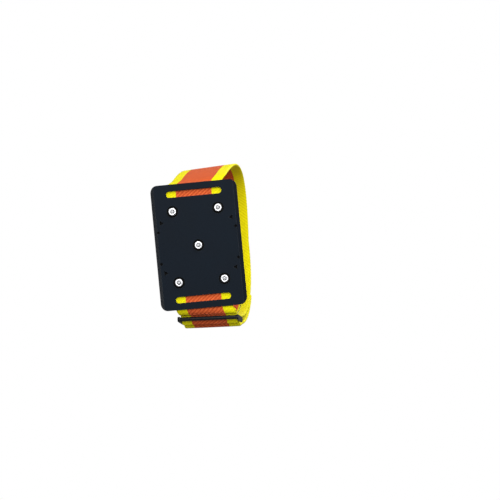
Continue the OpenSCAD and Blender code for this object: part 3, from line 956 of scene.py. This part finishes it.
def stud_points(name):
    boxes = [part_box("stud_%d" % i) for i in STUD_NUMBERS]
    points = [((low[0] + high[0]) / 2, (low[1] + high[1]) / 2, 0.0) for low, high in boxes]
    return new_object(name, new_mesh(name, points))


studs = run_tree(stud_points("studs"), set_tree, "studs", Shape=stud_shape, Turn=FULL_TURN,
                 Seed=STUD_SEED, Finish=stud_metal)
pins = run_tree(stud_points("pins"), set_tree, "carbide_pins", Shape=pin_shape, Turn=FULL_TURN,
                Seed=PIN_SEED, Finish=carbide)
for piece, node, slot in ((studs, "stud_", "stud_metal"), (pins, "carbide_pin_", "carbide")):
    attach(piece, "cleat")
    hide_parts(*(node + str(i) for i in STUD_NUMBERS))
for shape_object in (stud_shape, pin_shape):
    bpy.data.objects.remove(shape_object)

# %% [markdown]
# ## Hook and loop tape
# The strap closes with hook tape on the tail and loop tape on the run under it. Both are thin woven
# tapes. One carries rows of small plastic hooks, the other a pile of fine loops. There are far too
# many to place by hand, so each tape's base is swept like the strap, and Geometry Nodes set the
# hooks and loops on a sheet that lies on the base, inside the sewn margins.

# %% Tape bases
TAPE_W, TAPE_COLUMNS, TAPE_STEP = 30.0, 9, 1.0
LOOP_T, LOOP_BASE = 1.4, 0.55
HOOK_T, HOOK_BASE = 1.2, 0.45
LOOP_FROM, LOOP_TO = 14.0, 76.0
HOOK_FROM, HOOK_TO = 18.0, 60.0
ON_FACE = STRAP_T / 2 + SEWN_GAP


def on_run(out, start, end):
    """Rows down the buckle side's run, set off outwards."""
    return even_rows(upper_run(1, end, start, lambda length: out), TAPE_STEP)


def on_tail(inwards, start, end, step=TAPE_STEP):
    """Rows up the tail, set off towards the run."""
    return even_rows(upper_run(1, start, end, lambda length: tail_space(length) - inwards), step)


loop_base = sweep("loop_tape_base", on_run(ON_FACE + LOOP_BASE / 2, LOOP_FROM, LOOP_TO),
                  TAPE_W / 2, LOOP_BASE, TAPE_COLUMNS, loop_nylon)
hook_base = sweep("hook_tape_base", on_tail(ON_FACE + HOOK_BASE / 2, HOOK_FROM, HOOK_TO),
                  TAPE_W / 2, HOOK_BASE, TAPE_COLUMNS, hook_nylon)
print("tape faces:", len(loop_base.data.polygons), len(hook_base.data.polygons))

# %% A sheet that carries the pile
PILE_MARGIN = 3.0
PILE_HALF = TAPE_W / 2 - PILE_MARGIN


def carrier_sheet(name, rows, columns):
    """An open grid on rows of stations, facing the same way as they do."""
    middle, width, _, at = rows
    verts = [(middle[i] + PILE_HALF * share * width[i]) * MM
             for i in range(len(at)) for share in np.linspace(-1, 1, columns)]
    faces = [(i + j, i + j + 1, i + columns + j + 1, i + columns + j)
             for i in range(0, (len(at) - 1) * columns, columns) for j in range(columns - 1)]
    return new_object(name, new_mesh(name, verts, faces=faces))


# %% Loops
LOOP_SPACING, LOOP_THREAD, LOOP_SEED = 0.75, 0.09, 3
LOOP_DENSITY, LOOP_TILT, LOOP_STRETCH = 4.0e6, 0.35, 1.8
LOOP_POINTS, LOOP_SIDES, SHEET_COLUMNS = 6, 3, 7
pile_tree, t_in, t_out = new_placer("loop_pile", Spacing="Float", Height="Float", Thread="Float",
                                    Seed="Int", Finish="Material")
scatter = add(pile_tree, "GeometryNodeDistributePointsOnFaces", {
    "Mesh": t_in["Geometry"], "Distance Min": t_in["Spacing"], "Density Max": LOOP_DENSITY,
    "Seed": t_in["Seed"]}, distribute_method="POISSON")
half_height = math_node(pile_tree, "MULTIPLY", t_in["Height"], 0.5)
arc = add(pile_tree, "GeometryNodeCurveArc", {
    "Resolution": LOOP_POINTS, "Radius": half_height, "Sweep Angle": math.pi})
strand = add(pile_tree, "GeometryNodeCurvePrimitiveCircle", {
    "Resolution": LOOP_SIDES, "Radius": t_in["Thread"]})
tube = add(pile_tree, "GeometryNodeCurveToMesh", {"Curve": arc, "Profile Curve": strand})
upright = add(pile_tree, "GeometryNodeTransform", {
    "Geometry": tube, "Rotation": (math.pi / 2, 0.0, 0.0), "Scale": (1.0, 1.0, LOOP_STRETCH)})
spin = add(pile_tree, "FunctionNodeRandomValue", {
    0: (-LOOP_TILT, -LOOP_TILT, 0.0), 1: (LOOP_TILT, LOOP_TILT, FULL_TURN),
    "Seed": t_in["Seed"]}, data_type="FLOAT_VECTOR")
turned_loops = add(pile_tree, "FunctionNodeRotateRotation", {
    0: scatter.outputs["Rotation"], 1: spin}, rotation_space="LOCAL")
loops = add(pile_tree, "GeometryNodeInstanceOnPoints", {
    "Points": scatter.outputs["Points"], "Instance": upright, "Rotation": turned_loops})
close_tree(pile_tree, loops, t_in["Finish"], t_out)

pile_rows = on_run(ON_FACE + LOOP_BASE, LOOP_FROM + PILE_MARGIN, LOOP_TO - PILE_MARGIN)
loop_pile = run_tree(carrier_sheet("pile_sheet", pile_rows, SHEET_COLUMNS), pile_tree,
                     "loop_tape_pile", Spacing=LOOP_SPACING * MM,
                     Height=(LOOP_T - LOOP_BASE) * MM, Thread=LOOP_THREAD * MM, Seed=LOOP_SEED,
                     Finish=loop_nylon)

# %% Hooks
HOOK_PITCH, HOOK_REACH, HOOK_THREAD = 1.25, 0.45, 0.13
HOOK_ARCH, HOOK_TIP = 1.9, 0.5
HOOK_POINTS, HOOK_SIDES = 6, 4
hook_tree, t_in, t_out = new_placer("hook_rows", Height="Float", Reach="Float", Thread="Float",
                                    Finish="Material")
arch_height = math_node(hook_tree, "MULTIPLY", t_in["Height"], HOOK_ARCH)
tip_height = math_node(hook_tree, "MULTIPLY", t_in["Height"], HOOK_TIP)
arch = add(hook_tree, "ShaderNodeCombineXYZ", {2: arch_height})
tip = add(hook_tree, "ShaderNodeCombineXYZ", {0: t_in["Reach"], 2: tip_height})
bent = add(hook_tree, "GeometryNodeCurveQuadraticBezier", {
    "Resolution": HOOK_POINTS, "Start": (0.0, 0.0, 0.0), "Middle": arch, "End": tip})
strand = add(hook_tree, "GeometryNodeCurvePrimitiveCircle", {
    "Resolution": HOOK_SIDES, "Radius": t_in["Thread"]})
hook_shape = add(hook_tree, "GeometryNodeCurveToMesh", {
    "Curve": bent, "Profile Curve": strand, "Fill Caps": True})
sheet_normal = add(hook_tree, "GeometryNodeInputNormal")
facing = add(hook_tree, "FunctionNodeAlignRotationToVector", {"Vector": sheet_normal}, axis="Z")
hooks_set = add(hook_tree, "GeometryNodeInstanceOnPoints", {
    "Points": t_in["Geometry"], "Instance": hook_shape, "Rotation": facing})
close_tree(hook_tree, hooks_set, t_in["Finish"], t_out)

hook_rows = on_tail(ON_FACE + HOOK_BASE, HOOK_FROM + PILE_MARGIN, HOOK_TO - PILE_MARGIN, HOOK_PITCH)
hook_columns = int(2 * PILE_HALF / HOOK_PITCH) + 1
hooks = run_tree(carrier_sheet("hook_sheet", hook_rows, hook_columns), hook_tree,
                 "hook_tape_hooks", Height=(HOOK_T - HOOK_BASE) * MM, Reach=HOOK_REACH * MM,
                 Thread=HOOK_THREAD * MM, Finish=hook_nylon)

# %% Tapes take their places
for piece, body, slot in ((loop_base, "cleat", "loop_tape"), (loop_pile, "cleat", "loop_tape"),
                          (hook_base, "tail", "hook_tape"), (hooks, "tail", "hook_tape")):
    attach(piece, body)
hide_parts("loop_tape")
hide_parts("hook_tape")
print("loop tape %.0f mm, hook tape %.0f mm" % (LOOP_TO - LOOP_FROM, HOOK_TO - HOOK_FROM))

# %% [markdown]
# ## Stitches
# The tapes and the strap's end are sewn. A row of stitches is a line of short threads, all alike.
# Set by hand they would never come out even, so each row is drawn as a path on the cloth, and
# Geometry Nodes set a thread at even steps along it.

# %% Stitch tree
STITCH_PITCH, STITCH_L, THREAD_R = 2.6, 2.1, 0.24
THREAD_SIDES, THREAD_RINGS = 8, 6
stitch_tree, t_in, t_out = new_placer("stitch_rows", Pitch="Float", Stitch="Float", Thread="Float",
                                      Finish="Material")
line = add(stitch_tree, "GeometryNodeMeshToCurve", {0: t_in["Geometry"]})
marks = add(stitch_tree, "GeometryNodeCurveToPoints", {
    "Curve": line, "Length": t_in["Pitch"]}, mode="LENGTH")
ball = add(stitch_tree, "GeometryNodeMeshUVSphere", {
    "Segments": THREAD_SIDES, "Rings": THREAD_RINGS, "Radius": 1.0})
lie = add(stitch_tree, "FunctionNodeAlignRotationToVector", {"Vector": marks.outputs["Tangent"]},
          axis="Z")
half_stitch = math_node(stitch_tree, "MULTIPLY", t_in["Stitch"], 0.5)
size = add(stitch_tree, "ShaderNodeCombineXYZ", {
    0: t_in["Thread"], 1: t_in["Thread"], 2: half_stitch})
threads = add(stitch_tree, "GeometryNodeInstanceOnPoints", {
    "Points": marks.outputs["Points"], "Instance": ball, "Rotation": lie, "Scale": size})
close_tree(stitch_tree, threads, t_in["Finish"], t_out)


def stitches(name, paths, finish):
    """Stitches along paths of points in millimetres."""
    verts, edges = [], []
    for path in paths:
        edges += [(len(verts) + i, len(verts) + i + 1) for i in range(len(path) - 1)]
        verts += [tuple(p * MM) for p in path]
    carrier = new_object(name, new_mesh(name, verts, edges))
    return run_tree(carrier, stitch_tree, name, Pitch=STITCH_PITCH * MM, Stitch=STITCH_L * MM,
                    Thread=THREAD_R * MM, Finish=finish)


# %% Stitch rows
SEAM_IN = 1.5
SEAM_HALF = TAPE_W / 2 - SEAM_IN
PROUD, BACK_PROUD = 0.05, 0.06
END_POINTS, ANCHOR_POINTS = 25, 15
ANCHOR_SHARES, ANCHOR_HALF = (0.70, 0.95), 11.0


def frame_path(rows, height):
    """A rectangle of stitches: both long sides and both ends."""
    middle, width, face, at = rows

    def at_place(i, a):
        return middle[i] + a * width[i] + height * face[i]

    sides = [[at_place(i, a) for i in range(1, len(at) - 1)] for a in (-SEAM_HALF, SEAM_HALF)]
    ends = [[at_place(i, a) for a in np.linspace(-SEAM_HALF, SEAM_HALF, END_POINTS)]
            for i in (1, len(at) - 2)]
    return sides + ends


loop_front = frame_path(on_run(ON_FACE + LOOP_BASE, LOOP_FROM, LOOP_TO), PROUD)
loop_back = frame_path(on_run(-STRAP_T / 2, LOOP_FROM, LOOP_TO), -BACK_PROUD)
hook_front = frame_path(on_tail(ON_FACE + HOOK_BASE, HOOK_FROM, HOOK_TO), PROUD)
hook_back = frame_path(on_tail(-STRAP_T / 2, HOOK_FROM, HOOK_TO), -BACK_PROUD)
loop_seams = stitches("loop_tape_stitches", loop_front + loop_back, black_thread)
hook_seams = stitches("hook_tape_stitches", hook_front + hook_back, black_thread)

anchor_paths = []
for k in ANCHOR_SHARES:
    p, bend_angle = bend_place(k)
    for off in (-STRAP_T / 2 - BACK_PROUD, 1.5 * STRAP_T + SEWN_GAP + BACK_PROUD):
        spot = p + off * left_of(bend_angle)
        anchor_paths.append([side_point(1, k * SLIDE_STANCE, x, spot)
                             for x in np.linspace(-ANCHOR_HALF, ANCHOR_HALF, ANCHOR_POINTS)])
anchor_seams = stitches("anchor_stitches", anchor_paths, orange_thread)
for piece, body in ((loop_seams, "cleat"), (hook_seams, "tail"), (anchor_seams, "cleat")):
    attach(piece, body)

# %% [markdown]
# ## Last look at the size
# The boxes of the dressed part and of the CAD model are printed side by side. The dressed part may
# not outgrow the CAD model, apart from cloth that stands a little proud.

# %% Sizes and finish
dressed_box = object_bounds()
sizes = {"cad": [[float(v) for v in corner] for corner in cad_box],
         "dressed": [[float(v) for v in corner] for corner in dressed_box]}
for label, (low, high) in sizes.items():
    print(label, "box in mm:", [round((b - a) / MM, 2) for a, b in zip(low, high)])
